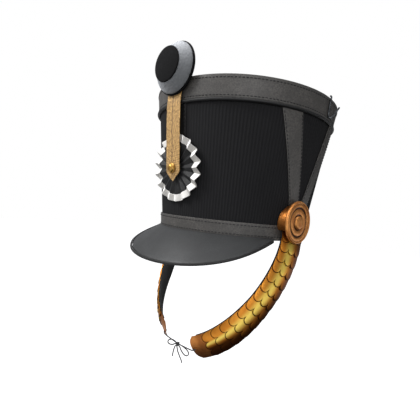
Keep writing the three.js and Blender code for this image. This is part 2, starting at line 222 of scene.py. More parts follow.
lace_cotton = braided_cotton()
LACE_DIAMETER = 1.4
KNOT = Vector((0, -76, -139.6))
lace_legs = [
    (30.1, 3.9, 5.9), (30.6, 2.1, 5.1), (30.7, 1, 4.4), (30, 0.1, 3.6), (28.3, -0.4, 2.7),
    (26.2, -0.5, 2), (22, -0.4, 1.4), (13, -0.1, 0.5), (3.2, 0, -0.3),
]
loop_on_the_left = [
    (2.2, 1.9, -1.4), (6, 4.6, -3.5), (9.6, 6.9, -6.1), (11.9, 7.7, -8.9), (12.5, 6.7, -11.4),
    (10.9, 4.6, -11.9), (8.2, 2.7, -10.1), (5, 1.3, -6.5), (1.9, 0.5, -2.6),
]
loop_on_the_right = [
    (-1.9, -2.5, -0.3), (-3.9, -5.6, -1.4), (-6.2, -8.2, -1), (-8.3, -9.3, 0.6),
    (-8.6, -8.4, 2.9), (-7, -6, 4), (-4.9, -3.6, 3.3), (-2.2, -1.9, 1.3),
]
tail_on_the_left = [
    (0.9, -2.3, -2.5), (3.4, -2.4, -7.4), (6.8, -1.6, -12.6), (9.4, -0.8, -16.6), (11, -0.5, -19.5),
]
tail_on_the_right = [(-1.2, -2.7, -2.4), (-0.9, -5, -6), (0.2, -7, -9.8), (1.1, -8, -13.3)]

# The knot is one pass of the lace tied over itself.
KNOT_SIZE = 0.62
KNOT_THICKNESS = 0.72
knot_turns = [2 * math.pi * i / 60 for i in range(61)]
knot_run = [KNOT + KNOT_SIZE * Vector((
    math.sin(t) + 2 * math.sin(2 * t), -math.sin(3 * t), math.cos(t) - 2 * math.cos(2 * t),
)) for t in knot_turns]
knot = fit(sweep("lace_bow_knot", knot_run, KNOT_THICKNESS), lace_cotton, "lace_cord", "lace_knot")

for side, loop, tail, far_side, x_sign in (
    ("left", loop_on_the_right, tail_on_the_left, "right", 1),
    ("right", loop_on_the_left, tail_on_the_right, "left", -1),
):
    leg = [(x * x_sign, y, z) for x, y, z in lace_legs]
    lace_run = smooth_run([KNOT + Vector(offset) for offset in (*leg, *loop, *tail)], 5)
    lace = fit(
        sweep("lace_" + side, lace_run, LACE_DIAMETER / 2), lace_cotton, "lace_cord",
        "lace_leg_" + side, "lace_loop_" + far_side, "lace_tail_" + side,
    )


# ---- Crown ----
# A stiff felt body, wider at the top than at the head, covered with a black wool cloth whose
# fine cords run up and down it. Its flat top is a separate disc set inside the wall.

CROWN_HEIGHT = 170
HEAD_RADIUS = 94
TOP_HALF_WIDTH = 115
TOP_HALF_DEPTH = 123
TOP_SET_BACK = 9.5
WALL_TOP = 168.2
GAP = 0.3


def on_crown(angle, z, proud):
    """A point round the crown: degrees from the front, height, and distance outside the felt."""
    share = z / CROWN_HEIGHT
    half_width = HEAD_RADIUS + (TOP_HALF_WIDTH - HEAD_RADIUS) * share + proud
    half_depth = HEAD_RADIUS + (TOP_HALF_DEPTH - HEAD_RADIUS) * share + proud
    turn = math.radians(angle)
    return Vector((
        half_width * math.sin(turn), TOP_SET_BACK * share - half_depth * math.cos(turn), z,
    ))


def rounded(corners, radius, longest=6.0, steps=3):
    """A closed outline with its corners eased, and no side of it longer than longest."""
    outline = []
    points = [Vector(corner) for corner in corners]
    for before, corner, after in zip([points[-1], *points], points, [*points[1:], points[0]]):
        to_before, to_after = before - corner, after - corner
        start = corner + to_before.normalized() * min(radius, to_before.length / 2.2)
        end = corner + to_after.normalized() * min(radius, to_after.length / 2.2)
        for step in range(steps + 1):
            t = step / steps
            outline.append((1 - t) ** 2 * start + 2 * t * (1 - t) * corner + t * t * end)
    filled = []
    for a, b in zip(outline, [*outline[1:], outline[0]]):
        pieces = max(1, math.ceil((b - a).length / longest))
        filled += [a.lerp(b, step / pieces) for step in range(pieces)]
    return filled


def strip_outline(left, foot, right, top, radius, longest=6.0):
    return rounded([(left, foot), (right, foot), (right, top), (left, top)], radius, longest)


def ring_round_crown(name, outline, sides=180):
    """A ring whose outline's points are (distance outside the felt, height)."""
    turns = [360 * i / sides for i in range(sides)]
    loops = [[on_crown(turn, z, proud) for proud, z in outline] for turn in turns]
    return loft(name, loops, ring=True)


def corded_wool():
    """Corded wool cloth: soft upright cords with a dull nap, matt and slightly grey."""
    material, tree, place = start_material("corded_wool_cloth")
    # Real cords are nearer 1 mm apart; these are wider so that they show.
    cord_mm = 3.1
    cords = add(tree, "TexWave", {
        "Vector": place, "Scale": 0.314 / cord_mm, "Distortion": 0.35, "Detail": 2.0,
        "Detail Scale": 3.0,
    })
    nap_mm = 0.8
    nap = add(tree, "TexNoise", {"Vector": place, "Scale": 1 / nap_mm, "Detail": 4.0})
    patch_mm = 40
    patches = add(tree, "TexNoise", {"Vector": place, "Scale": 1 / patch_mm, "Detail": 3.0})
    cord_tint = add(tree, "Mix", {
        "Factor": cords, 6: linear("#151516"), 7: linear("#232325"),
    }, data_type="RGBA")
    nap_tint = add(tree, "Mix", {
        "Factor": nap, 6: cord_tint, 7: linear("#202021"),
    }, data_type="RGBA")
    patch_tint = add(tree, "Mix", {
        "Factor": patches, 6: nap_tint, 7: linear("#1a1a1b"),
    }, data_type="RGBA")
    height = add(tree, "Math", {0: nap, 1: 0.35, 2: cords}, operation="MULTIPLY_ADD")
    relief = add(tree, "Bump", {"Height": height, "Distance": 0.0005, "Strength": 0.8})
    shader = add(tree, "BsdfPrincipled", {
        "Base Color": patch_tint, "Roughness": 0.92, "Specular IOR Level": 0.12, "Normal": relief,
    })
    add(tree, "OutputMaterial", {"Surface": shader})
    return material


crown_cloth = corded_wool()
FELT = 2.5
wall_outline = strip_outline(-FELT, 0, 0, WALL_TOP, 0.6, longest=12)
fit(ring_round_crown("crown_cloth_wall", wall_outline), crown_cloth, "felt_cloth", "crown_wall")

# The top disc sags a touch in the middle; its rows are (share of its radius, height).
DISC_INSET = 3.2
disc_rim = on_crown(90, WALL_TOP, -DISC_INSET).x
disc_depth = on_crown(180, WALL_TOP, -DISC_INSET).y - TOP_SET_BACK
disc_rows = [
    (0.02, -2.5), (0.5, -2.5), (0.985, -2.5), (1, -2.1), (1, -0.4), (0.985, 0), (0.94, 0.05),
    (0.8, -0.25), (0.6, -0.55), (0.4, -0.75), (0.2, -0.85), (0.02, -0.9),
]
disc_turns = [2 * math.pi * i / 144 for i in range(144)]
disc_loops = [[
    Vector((
        share * disc_rim * math.sin(turn), TOP_SET_BACK - share * disc_depth * math.cos(turn),
        WALL_TOP + height,
    )) for turn in disc_turns
] for share, height in disc_rows]
crown_disc = loft("crown_cloth_top", disc_loops)
fit(crown_disc, crown_cloth, "felt_cloth", "crown_top")
# Its cloth is cut flat, so its cords run straight across it.
disc_map = crown_disc.data.uv_layers["millimetres"].data
for corner in crown_disc.data.loops:
    disc_map[corner.index].uv = crown_disc.data.vertices[corner.vertex_index].co.xy / MM


# ---- Leather bands ----
# Dyed cowhide strips glued and sewn round the crown's edges: a deep one turned in over the top
# edge, and a narrow one round the head. Waxed thread runs close to the edges of both.

def leather(name, shadow, light, roughness, grain_mm, relief_mm):
    """Dyed cowhide: cloudy dye, a net of fine creases between raised pebbles, and a low shine."""
    material, tree, place = start_material(name)
    cloud_mm = 22
    clouds = add(tree, "TexNoise", {
        "Vector": place, "Scale": 1 / cloud_mm, "Detail": 5.0, "Roughness": 0.6,
    })
    pebbles = add(tree, "TexVoronoi", {"Vector": place, "Scale": 1 / grain_mm})
    creases = add(tree, "MapRange", {
        "Value": pebbles, "From Min": 0.25, "From Max": 0.75,
    })
    dye = add(tree, "MapRange", {"Value": clouds, "From Min": 0.32, "From Max": 0.7})
    base = add(tree, "Mix", {
        "Factor": dye, 6: linear(shadow), 7: linear(light),
    }, data_type="RGBA")
    creased = add(tree, "Mix", {
        "Factor": creases, 6: base, 7: linear(shadow),
    }, data_type="RGBA")
    polish = add(tree, "MapRange", {
        "Value": clouds, "To Min": roughness + 0.1, "To Max": roughness - 0.1,
    })
    relief = add(tree, "Bump", {
        "Height": pebbles, "Distance": relief_mm * MM, "Strength": 0.6,
    }, invert=True)
    shader = add(tree, "BsdfPrincipled", {
        "Base Color": creased, "Roughness": polish, "Specular IOR Level": 0.45, "Normal": relief,
    })
    add(tree, "OutputMaterial", {"Surface": shader})
    return material


def waxed_thread():
    """Waxed linen thread: two plies twisted together, dark with a slight gleam of wax."""
    material, tree, place = start_material("waxed_linen_thread")
    ply_mm = 0.5
    plies = add(tree, "TexNoise", {"Vector": place, "Scale": 1 / ply_mm, "Detail": 2.0})
    tint = add(tree, "Mix", {
        "Factor": plies, 6: linear("#050505"), 7: linear("#141313"),
    }, data_type="RGBA")
    shader = add(tree, "BsdfPrincipled", {"Base Color": tint, "Roughness": 0.6})
    add(tree, "OutputMaterial", {"Surface": shader})
    return material


def stitch_row(name, run, outwards, pitch=4.0, length=2.9, thread=0.6):
    """Stitches along a run of points; outwards gives the leather's face at each of them."""
    reached = [0.0]
    for a, b in zip(run, run[1:]):
        reached.append(reached[-1] + (b - a).length)
    shape = bmesh.new()
    profile = [(-0.5, 0.25), (-0.38, 0.85), (0, 1), (0.38, 0.85), (0.5, 0.25)]
    stitches = int(reached[-1] / pitch)
    span = 0
    for number in range(stitches):
        middle = (number + 0.5) * reached[-1] / stitches
        while reached[span + 1] < middle:
            span += 1
        share = (middle - reached[span]) / (reached[span + 1] - reached[span])
        point = run[span].lerp(run[span + 1], share)
        tangent = (run[span + 1] - run[span]).normalized()
        out = outwards[span].lerp(outwards[span + 1], share)
        out = (out - tangent * out.dot(tangent)).normalized()
        across = out.cross(tangent)
        rings = []
        for offset, swell in profile:
            centre = point + tangent * offset * length
            rings.append([shape.verts.new((
                centre + thread * swell * (across * math.cos(turn) + out * math.sin(turn))
            ) * MM) for turn in (2 * math.pi * k / 6 for k in range(6))])
        for low, high in zip(rings, rings[1:]):
            for k in range(6):
                shape.faces.new((low[k], low[(k + 1) % 6], high[(k + 1) % 6], high[k]))
        shape.faces.new(rings[0])
        shape.faces.new(rings[-1])
    bmesh.ops.recalc_face_normals(shape, faces=shape.faces)
    mesh = bpy.data.meshes.new(name)
    shape.to_mesh(mesh)
    shape.free()
    mesh.shade_smooth()
    piece = bpy.data.objects.new(name, mesh)
    bpy.context.collection.objects.link(piece)
    return piece


def crown_outwards(angle):
    return Vector((math.sin(math.radians(angle)), -math.cos(math.radians(angle)), 0))


band_leather = leather("dyed_cowhide", "#3a3836", "#54514d", 0.5, grain_mm=1.5, relief_mm=0.15)
thread = waxed_thread()
BAND_FACE = 1.8

TOP_BAND_FOOT = 146.3
TOP_BAND_LIP = 7
BASE_BAND_TOP = 17.5
BAND_EDGE = 0.7

top_band_outline = rounded([
    (GAP, TOP_BAND_FOOT), (BAND_FACE, TOP_BAND_FOOT), (BAND_FACE, CROWN_HEIGHT),
    (-TOP_BAND_LIP, CROWN_HEIGHT), (-TOP_BAND_LIP, WALL_TOP + GAP), (GAP, WALL_TOP + GAP),
], BAND_EDGE)
top_band = ring_round_crown("top_band_leather", top_band_outline)
fit(top_band, band_leather, "band_leather", "top_band")
base_band_outline = strip_outline(GAP, 0, BAND_FACE, BASE_BAND_TOP, BAND_EDGE)
base_band = ring_round_crown("base_band_leather", base_band_outline)
fit(base_band, band_leather, "band_leather", "base_band")

band_turns = [2 * i for i in range(181)]
for name, height in (
    ("top_band_upper_stitches", 166.6), ("top_band_lower_stitches", 148.8),
    ("base_band_upper_stitches", 14.6), ("base_band_lower_stitches", 4.2),
):
    row = stitch_row(
        name, [on_crown(turn, height, BAND_FACE) for turn in band_turns],
        [crown_outwards(turn) for turn in band_turns],
    )
    fit(row, thread, "dark_leather")


# ---- Welt under the top band ----
# A black leather piping that stands proud of the cloth, sewn in along the band's lower edge.

black_leather = leather("black_calf", "#070707", "#141415", 0.6, grain_mm=0.9, relief_mm=0.08)
welt_outline = rounded([(GAP, 142.6), (2.6, 142.6), (4.0, 144.1), (3.2, 146), (GAP, 146)], 0.8)
welt = ring_round_crown("top_band_piping", welt_outline)
fit(welt, black_leather, "dark_leather", "top_band_welt")


# ---- Peak ----
# Thick harness leather moulded downwards over the eyes, jacked smooth and slightly glossy. A
# strip of black leather is rolled over its rim and sewn.

PEAK_LEATHER = 2.5
PEAK_BINDING = 2.6
PEAK_REACH = 60.0
PEAK_HALF_WIDTH = 100
PEAK_ENDS = Vector((0, -38.5, 2))
PEAK_LENGTH = 94
PEAK_DROP = 33.2
PEAK_SQUARENESS = 0.68
PEAK_BULGE = 1.6
PEAK_ROOT_ANGLE = 73
PEAK_ROOT_HEIGHT = 2.7


def peak_rim(side, inset):
    """A point on the rim: side runs from -1 to 1, and inset is inwards."""
    turn = side * math.pi / 2
    forward = max(math.cos(turn), 0) ** PEAK_SQUARENESS
    return PEAK_ENDS + Vector((
        (PEAK_HALF_WIDTH - inset) * math.sin(turn), -(PEAK_LENGTH - inset) * forward,
        -PEAK_DROP * forward,
    ))


def on_peak(side, out, above):
    """A point on the peak: out runs from 0 at its root to 1 at the binding."""
    root = on_crown(side * PEAK_ROOT_ANGLE, PEAK_ROOT_HEIGHT, BAND_FACE + GAP)
    point = root.lerp(peak_rim(side, PEAK_BINDING + GAP), out)
    point.z += PEAK_BULGE * math.sin(math.pi * out) * math.cos(side * math.pi / 2) + above
    return point


peak_leather = leather(
    "moulded_harness_leather", "#272829", "#363738", 0.5, grain_mm=0.8, relief_mm=0.04,
)
peak_sides = [-0.998 + 1.996 * i / 120 for i in range(121)]
peak_outline = strip_outline(0, -PEAK_LEATHER, PEAK_REACH, 0, 0.8, longest=4)
peak_loops = [[on_peak(side, x / PEAK_REACH, z) for x, z in peak_outline] for side in peak_sides]
fit(loft("peak_shell", peak_loops), peak_leather, "peak_leather", "peak")

BINDING_PROUD = 0.3
binding_foot = -PEAK_LEATHER - BINDING_PROUD
binding_outline = strip_outline(0, binding_foot, PEAK_BINDING, BINDING_PROUD, 1.1, longest=2)
binding_loops = [[
    peak_rim(side, inset) + Vector((0, 0, z)) for inset, z in binding_outline
] for side in peak_sides]
fit(loft("peak_rolled_rim", binding_loops), black_leather, "dark_leather", "peak_binding")


# ---- Side chevrons ----
# A V of band leather on each side of the crown, from the base band up to the welt, edged all
# round with dark stitches.

CHEVRON_FOOT = 17.8
CHEVRON_TOP = 142.3
CHEVRON_OUT = GAP + 0.15
CHEVRON_LEATHER = 1.2
FOOT_SHARE = 0.1
INNER_FOOT = 33
INNER_LEAN = 15
OUTER_FOOT_LEAN = 6.5
OUTER_LEAN = 28


def blend_of(a, b, share):
    return a + (b - a) * share


def on_chevron(side, across, proud):
    """side runs from -1 to 1 by the foot of the V, across from 0 inside it to 1 outside."""
    rise = abs(side)
    leg_rise = max(rise - FOOT_SHARE, 0) / (1 - FOOT_SHARE)
    outer_lean = blend_of(OUTER_FOOT_LEAN * min(rise / FOOT_SHARE, 1), OUTER_LEAN, leg_rise)
    lean = blend_of(INNER_LEAN * rise, outer_lean, across)
    inner_z = blend_of(INNER_FOOT, CHEVRON_TOP, rise)
    z = blend_of(inner_z, blend_of(CHEVRON_FOOT, CHEVRON_TOP, leg_rise), across)
    return on_crown(90 + math.copysign(lean, side), z, proud)


def facing(points, x_sign):
    """The same points for the wearer's left (1) or right (-1)."""
    return [Vector((point.x * x_sign, point.y, point.z)) for point in points]


CHEVRON_WIDTH = 27.0
chevron_face = CHEVRON_OUT + CHEVRON_LEATHER
chevron_outline = strip_outline(0, CHEVRON_OUT, CHEVRON_WIDTH, chevron_face, 0.5, longest=5)
chevron_steps = [-1 + 2 * i / 80 for i in range(81)]
for word, x_sign in (("left", 1), ("right", -1)):
    loops = [facing(
        [on_chevron(side, x / CHEVRON_WIDTH, proud) for x, proud in chevron_outline], x_sign,
    ) for side in chevron_steps]
    chevron = loft("chevron_leather_" + word, loops)
    fit(chevron, band_leather, "band_leather", "side_chevron_" + word)
    for edge, across in (("inner", 0.06), ("outer", 0.94)):
        for leg, start in (("front", -0.985), ("back", 0.985)):
            turn_at = 0.1 if edge == "inner" else 0.14
            sides = [blend_of(start, math.copysign(turn_at, start), i / 30) for i in range(31)]
            run = facing([
                on_chevron(side, across, chevron_face) for side in sides
            ], x_sign)
            out = [Vector((point.x, point.y - 5, 0)).normalized() for point in run]
            stitches = stitch_row(f"chevron_{word}_{leg}_{edge}_stitches", run, out)
            fit(stitches, thread, "dark_leather")


# ---- Strip down the front ----
# A plain strip of black leather behind the loop and cockade, sewn down both edges.

STRIP_EDGE_ANGLE = 7.6
STRIP_STITCH_ANGLE = 6.6
STRIP_FACE = 1.1
front_outline = strip_outline(
    -STRIP_EDGE_ANGLE, GAP, STRIP_EDGE_ANGLE, STRIP_FACE, 0.35, longest=1,
)
strip_heights = [blend_of(60, CHEVRON_TOP, i / 20) for i in range(21)]
strip_loops = [[
    on_crown(angle, z, proud) for angle, proud in front_outline
] for z in strip_heights]
fit(loft("front_strip_leather", strip_loops), black_leather, "dark_leather", "front_strip")
for word, angle in (("left", STRIP_STITCH_ANGLE), ("right", -STRIP_STITCH_ANGLE)):
    run = [on_crown(angle, z, STRIP_FACE) for z in strip_heights]
    stitches = stitch_row("front_strip_stitches_" + word, run, [crown_outwards(angle)] * len(run))
    fit(stitches, thread, "dark_leather")


# ---- Cockade ----
# A rosette of stiff pleated silk ribbon, black with a white edge, sewn flat to the front of the
# crown. Its folds run out from the middle and are pressed sharp.

PLEATS = 17
COCKADE_RADIUS = 38.4
BORDER_FROM = 30.4
PLEAT_HUB = 5
PLEAT_BACK = 1.4
PLEAT_LIFT = 3
PLEAT_FALL = 0.003
PLEAT_STEPS = 8
COCKADE_HEIGHT = 72
cockade_lean = math.atan2(on_crown(0, 0, 0).y - on_crown(0, CROWN_HEIGHT, 0).y, CROWN_HEIGHT)
cockade_turn = Matrix.Rotation(math.pi / 2 + cockade_lean, 4, "X")
on_cockade = Matrix.Translation(on_crown(0, COCKADE_HEIGHT, 0)) @ cockade_turn


def pleated(name, inner, outer):
    """A ring of ribbon folded into pleats between two radii of the cockade."""
    folds = PLEATS * PLEAT_STEPS
    outline = strip_outline(inner, 0, outer, 1, 0.3, longest=3)
    loops = []
    for i in range(folds):
        turn = 2 * math.pi * i / folds
        to_ridge = abs((i / PLEAT_STEPS + 0.5) % 1 - 0.5) * 2
        ridge = 1 - min(max((to_ridge - 0.06) / 0.88, 0), 1)
        loop = []
        for radius, thickness in outline:
            x = radius * math.cos(turn)
            spread = (radius - PLEAT_HUB) / (COCKADE_RADIUS - PLEAT_HUB)
            height = blend_of(-PLEAT_FALL * x * x, PLEAT_LIFT, ridge) * spread
            loop.append(on_cockade @ Vector((
                x, radius * math.sin(turn), PLEAT_BACK + height + thickness,
            )))
        loops.append(loop)
    piece = loft(name, loops, ring=True, sharp=15)
    # Painted light: the faces turned upwards and to the wearer's right are painted paler, and the
    # others darker.
    towards = Vector((-0.5, 0, 0.86))
    fold = piece.data.attributes.new("painted_fold_light", "FLOAT", "FACE")
    fold.data.foreach_set("value", [
        min(max(0.5 + 1.6 * face.normal.dot(towards), 0), 0.9) for face in piece.data.polygons
    ])
    return piece


def silk_ribbon(name, shadow, light, roughness):
    """Ribbed silk ribbon: fine ribs, wear, and painted light: paler on pleat faces turned to the
    light.
    """
    material, tree, place = start_material(name)
    lit_fold = add(tree, "Attribute", attribute_name="painted_fold_light")
    rib_mm = 0.8
    ribs = add(tree, "TexWave", {
        "Vector": place, "Scale": 0.314 / rib_mm, "Distortion": 0.4, "Detail": 1.0,
    }, bands_direction="Y")
    wear_mm = 6
    wear = add(tree, "TexNoise", {"Vector": place, "Scale": 1 / wear_mm, "Detail": 5.0})
    # The painted light is added to the ribs' tone here.
    ribbed = add(tree, "Math", {0: ribs, 1: 0.15, 2: lit_fold}, operation="MULTIPLY_ADD")
    worn = add(tree, "Math", {0: wear, 1: 0.3, 2: ribbed}, operation="MULTIPLY_ADD")
    tint = add(tree, "Mix", {
        "Factor": worn, 6: linear(shadow), 7: linear(light),
    }, data_type="RGBA")
    relief = add(tree, "Bump", {"Height": ribs, "Distance": 0.0001, "Strength": 0.6})
    shader = add(tree, "BsdfPrincipled", {
        "Base Color": tint, "Roughness": roughness, "Specular IOR Level": 0.25,
        "Normal": relief,
    })
    add(tree, "OutputMaterial", {"Surface": shader})
    return material


black_ribbon = silk_ribbon("black_silk_ribbon", "#040404", "#1b1b1c", 0.5)
white_ribbon = silk_ribbon("white_silk_ribbon", "#8c8984", "#f6f4f0", 0.6)
black_pleats = pleated("cockade_black_pleats", PLEAT_HUB, BORDER_FROM - GAP)
fit(black_pleats, black_ribbon, "dark_leather", "cockade_disc")
white_pleats = pleated("cockade_white_pleats", BORDER_FROM, COCKADE_RADIUS)
fit(white_pleats, white_ribbon, "white_ribbon", "cockade_border")


# ---- Braid loop ----
# Two widths of flat gold braid laid side by side, with a dark line where they meet, running
# from the top band to a point over the cockade.

LOOP_HALF_WIDTH = 12
LOOP_THICKNESS = 1.1
LOOP_TIP = 56
LOOP_SHOULDER = 11
LOOP_TOP = 156
LOOP_CROWNING = 0.35
# Rows are (height, distance of the braid's face from the felt).
loop_line = [(50, 7.3), (114, 7.3), (142, 6.4), (LOOP_TOP, 4.45)]


def loop_proud(z):
    for (low, low_proud), (high, high_proud) in zip(loop_line, loop_line[1:]):
        if z <= high:
            return blend_of(low_proud, high_proud, (z - low) / (high - low))
    return loop_line[-1][1]


def gold_braid():
    """Woven gold braid: slanting threads in two mirrored halves, with dark flecks between them."""
    material, tree, place = start_material("woven_gold_braid")
    parts = add(tree, "SeparateXYZ", {"Vector": place})
    # The map's middle line is at half the width, and the weave slants away from it.
    from_middle = add(tree, "Math", {
        0: parts.node.outputs["Y"], 1: LOOP_HALF_WIDTH,
    }, operation="SUBTRACT")
    aside = add(tree, "Math", {0: from_middle}, operation="ABSOLUTE")
    slant = add(tree, "Math", {
        0: aside, 1: 0.8, 2: parts.node.outputs["X"],
    }, operation="MULTIPLY_ADD")
    woven = add(tree, "CombineXYZ", {"X": slant, "Y": aside})
    thread_mm = 1.9
    threads = add(tree, "TexWave", {
        "Vector": woven, "Scale": 0.314 / thread_mm, "Distortion": 1.5,
    })
    fleck_mm = 2.3
    flecks = add(tree, "TexNoise", {
        "Vector": place, "Scale": 1 / fleck_mm, "Detail": 4.0, "Roughness": 0.7,
    })
    mixed = add(tree, "Math", {0: threads, 1: 0.12, 2: flecks}, operation="MULTIPLY_ADD")
    shade = add(tree, "MapRange", {"Value": mixed, "From Min": 0.43, "From Max": 0.7})
    gold = add(tree, "Mix", {
        "Factor": shade, 6: linear("#6a4a22"), 7: linear("#cfa766"),
    }, data_type="RGBA")
    seam = add(tree, "MapRange", {"Value": aside, "From Min": 0.2, "From Max": 0.7})
    seamed = add(tree, "Mix", {"Factor": seam, 6: linear("#3a2916"), 7: gold}, data_type="RGBA")
    relief = add(tree, "Bump", {"Height": mixed, "Distance": 0.0005, "Strength": 0.6})
    shader = add(tree, "BsdfPrincipled", {
        "Base Color": seamed, "Roughness": 0.6, "Metallic": 0.15,
        "Sheen Weight": 0.1, "Normal": relief,
    })
    add(tree, "OutputMaterial", {"Surface": shader})
    return material


# Each half of the loop is slightly crowned, so the join between them is a shallow groove. Its
# outline starts at one selvedge, so the map's middle line is half a width up.
loop_outline = [
    (x, -LOOP_CROWNING * (1 - math.sin(math.pi * abs(x) / LOOP_HALF_WIDTH) ** 0.5))
    for x in range(-LOOP_HALF_WIDTH, LOOP_HALF_WIDTH + 1)
]
loop_outline += [(x, -LOOP_THICKNESS) for x in (LOOP_HALF_WIDTH, 0, -LOOP_HALF_WIDTH)]
loop_loops = []
for share in (i / 60 for i in range(61)):
    loop = []
    for x, depth in loop_outline:
        z = blend_of(LOOP_TIP + LOOP_SHOULDER * abs(x) / LOOP_HALF_WIDTH, LOOP_TOP, share)
        loop.append(Vector((x, on_crown(0, z, loop_proud(z) + depth).y, z)))
    loop_loops.append(loop)
fit(loft("loop_gold_braid", loop_loops), gold_braid(), "gold_braid", "cockade_loop")


# ---- Cockade button ----
# A plain stamped brass button, domed, with a turned-in rim.

def turned(name, outline, place, sides=96):
    """A turned solid; the outline's points are (radius, height) and place is its matrix."""
    directions = [
        Vector((math.cos(turn), math.sin(turn), 0))
        for turn in (2 * math.pi * i / sides for i in range(sides))
    ]
    return loft(name, [[
        place @ (max(radius, 0.02) * direction + Vector((0, 0, height)))
        for direction in directions
    ] for radius, height in outline])


def toned_metal(
    name, colours, tones, cloud_mm, cloudiness, polish, dent_mm, dent_depth_mm, paint, metallic=1.0,
):
    """Toned sheet metal: cloudy tarnish, small dents and an uneven polish.

    paint is given the tree, the clouded colour and the clouds, and gives the colour to use."""
    material, tree, place = start_material(name)
    detail, mottle = cloudiness
    clouds = add(tree, "TexNoise", {
        "Vector": place.node.outputs["Object"], "Scale": 1 / (cloud_mm * MM), "Detail": detail,
        "Roughness": mottle,
    })
    tone = add(tree, "MapRange", {"Value": clouds, "From Min": tones[0], "From Max": tones[1]})
    toned = add(tree, "Mix", {
        "Factor": tone, 6: linear(colours[0]), 7: linear(colours[1]),
    }, data_type="RGBA")
    gloss = add(tree, "MapRange", {"Value": clouds, "To Min": polish[0], "To Max": polish[1]})
    dents = add(tree, "TexNoise", {
        "Vector": place.node.outputs["Object"], "Scale": 1 / (dent_mm * MM), "Detail": 2.0,
    })
    relief = add(tree, "Bump", {
        "Height": dents, "Distance": dent_depth_mm * MM, "Strength": 0.5,
    })
    shader = add(tree, "BsdfPrincipled", {
        "Base Color": paint(tree, toned, clouds), "Metallic": metallic, "Roughness": gloss,
        "Normal": relief,
    })
    add(tree, "OutputMaterial", {"Surface": shader})
    return material


def stamped_metal(name, shadow, middle, light, roughness, tarnish_mm):
    """Toned metal with bright worn patches."""
    def brightened(tree, toned, clouds):
        bright = add(tree, "MapRange", {"Value": clouds, "From Min": 0.5, "From Max": 0.75})
        return add(tree, "Mix", {
            "Factor": bright, 6: toned, 7: linear(light),
        }, data_type="RGBA")

    return toned_metal(
        name, (shadow, middle), (0.3, 0.55), tarnish_mm, (5.0, 0.6),
        (roughness + 0.15, roughness - 0.08), dent_mm=3, dent_depth_mm=0.25, paint=brightened,
    )


brass = stamped_metal("stamped_brass", "#8a6832", "#ac8444", "#cca862", 0.42, tarnish_mm=7)
button_outline = [
    (0, 0), (5.4, 0), (5.95, 0.4), (6, 1), (5.8, 1.5), (5.4, 1.7), (5.3, 2.3), (4.9, 3.1),
    (4.2, 3.9), (3.2, 4.5), (2.2, 4.85), (1.1, 5), (0, 5),
]
loop_face = loop_line[0][1]
button_place = on_cockade @ Matrix.Translation((0, 0, loop_face + GAP))
fit(turned("cockade_dome_button", button_outline, button_place), brass, "brass", "cockade_button")


# ---- Pompon ----
# A pale grey wool pompon clipped flat, between a black felt disc behind and a smaller one in
# front, on a wire stem that goes down behind the loop.

def wool(name, painted_shade_colour, shadow, light, tuft_mm, relief_mm):
    """Clipped wool: short tufts with dark gaps between them, soft and without shine, and painted
    shade.
    """
    material, tree, place = start_material(name)
    tufts = add(tree, "TexNoise", {
        "Vector": place.node.outputs["Object"], "Scale": 1 / (tuft_mm * MM), "Detail": 4.0,
        "Roughness": 0.65,
    })
    speckle = add(tree, "MapRange", {"Value": tufts, "From Min": 0.34, "From Max": 0.62})
    tint = add(tree, "Mix", {
        "Factor": speckle, 6: linear(shadow), 7: linear(light),
    }, data_type="RGBA")
    # Painted shade: darker low on the wearer's left, the side turned away from the light.
    towards_lit_side = add(tree, "VectorMath", {
        0: place.node.outputs["Object"], 1: (-0.75, 0, 0.66),
    }, operation="DOT_PRODUCT")
    unshaded = add(tree, "MapRange", {
        "Value": towards_lit_side, "From Min": 0.09, "From Max": 0.14,
    }, interpolation_type="SMOOTHSTEP")
    side_shaded = add(tree, "Mix", {"Factor": unshaded, 6: linear(painted_shade_colour), 7: tint}, data_type="RGBA")
    relief = add(tree, "Bump", {"Height": tufts, "Distance": relief_mm * MM, "Strength": 0.9})
    shader = add(tree, "BsdfPrincipled", {
        "Base Color": side_shaded, "Roughness": 0.95, "Specular IOR Level": 0.15,
        "Normal": relief,
    })
    add(tree, "OutputMaterial", {"Surface": shader})
    return material


def fluff(piece, depth_mm, tuft_mm):
    """Moves a wool piece's surface in and out by its tufts."""
    for vertex in piece.data.vertices:
        swell = noise.noise(vertex.co / (tuft_mm * MM))
        vertex.co += vertex.normal * swell * depth_mm * MM


grey_wool = wool("clipped_grey_wool", "#626466", "#9c9fa4", "#ced0d4", tuft_mm=1.3, relief_mm=0.25)
black_felt = wool("black_wool_felt", "#070708", "#0a0a0b", "#1b1b1c", tuft_mm=1.2, relief_mm=0.15)
POMPON_TURN = 4
pompon_turn = (
    Matrix.Rotation(math.radians(POMPON_TURN), 4, "Z") @ Matrix.Rotation(math.pi / 2, 4, "X")
)
pompon_place = Matrix.Translation((1.5, -117.2, 181)) @ pompon_turn
back_outline = rounded([(0, 0), (29.4, 0), (30.2, 1.2), (29.4, 2.8), (0, 2.8)], 0.7, longest=4)
fit(turned("pompon_felt_back", back_outline, pompon_place), black_felt, "black_felt", "pompon_back")
body_outline = smooth_run([Vector(point) for point in (
    (0, 3.2), (15, 3.2), (27.4, 3.2), (28.4, 4.2), (27.4, 5.8), (25.3, 8), (22.6, 10.8),
    (20.2, 13.6), (18.7, 14.1), (9, 14.1), (0, 14.1),
)], 5)
pompon_body = turned("pompon_wool_body", body_outline, pompon_place, sides=160)
fit(pompon_body, grey_wool, "grey_felt", "pompon_body")
fluff(pompon_body, depth_mm=0.35, tuft_mm=2.2)
face_outline = rounded([
    (0, 14.5), (19.5, 14.5), (19.6, 15.2), (18.8, 15.9), (0, 16),
], 0.4, longest=4)
pompon_front = turned("pompon_felt_front", face_outline, pompon_place)
fit(pompon_front, black_felt, "black_felt", "pompon_front")


# ---- Steel wires ----
# Drawn steel wire, gone grey. One is the pompon's stem, and one is a small hook over the top
# band on the wearer's left, curled up at its foot.

